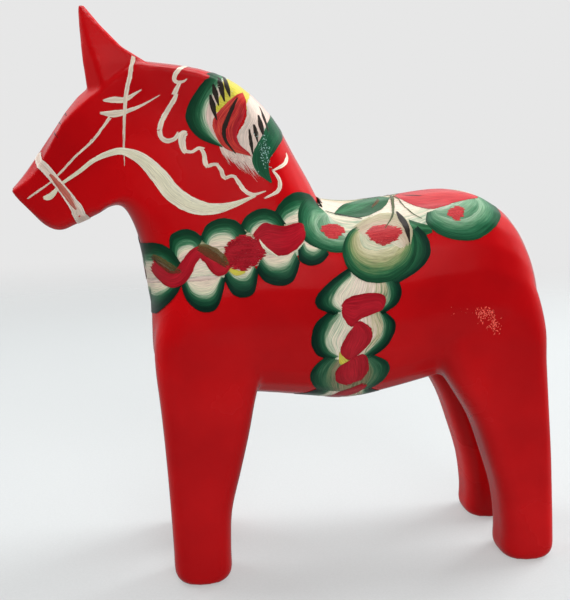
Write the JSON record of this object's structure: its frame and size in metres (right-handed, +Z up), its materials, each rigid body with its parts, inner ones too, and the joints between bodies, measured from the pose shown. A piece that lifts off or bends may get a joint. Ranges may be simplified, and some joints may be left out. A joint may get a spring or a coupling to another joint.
{
  "type": "dala horse",
  "caption": "Carved wooden horse with an arched neck, pointed ears and thick straight legs, lacquered and painted with a floral harness, that stands on a shelf as an ornament.",
  "frame": {"origin": "bottom centre of the bounding box, on the plane the feet stand on", "axes": "head towards -X, tail end towards +X, left flank towards -Y, +Z up"},
  "size_m": [0.246, 0.073, 0.25],
  "materials": {
    "left_board": "gloss lacquer over paint",
    "centre_board": "gloss lacquer over paint",
    "right_board": "gloss lacquer over paint"
  },
  "bodies": {
    "root": {"left_board": "left_board", "centre_board": "centre_board", "right_board": "right_board"}
  },
  "joints": []
}
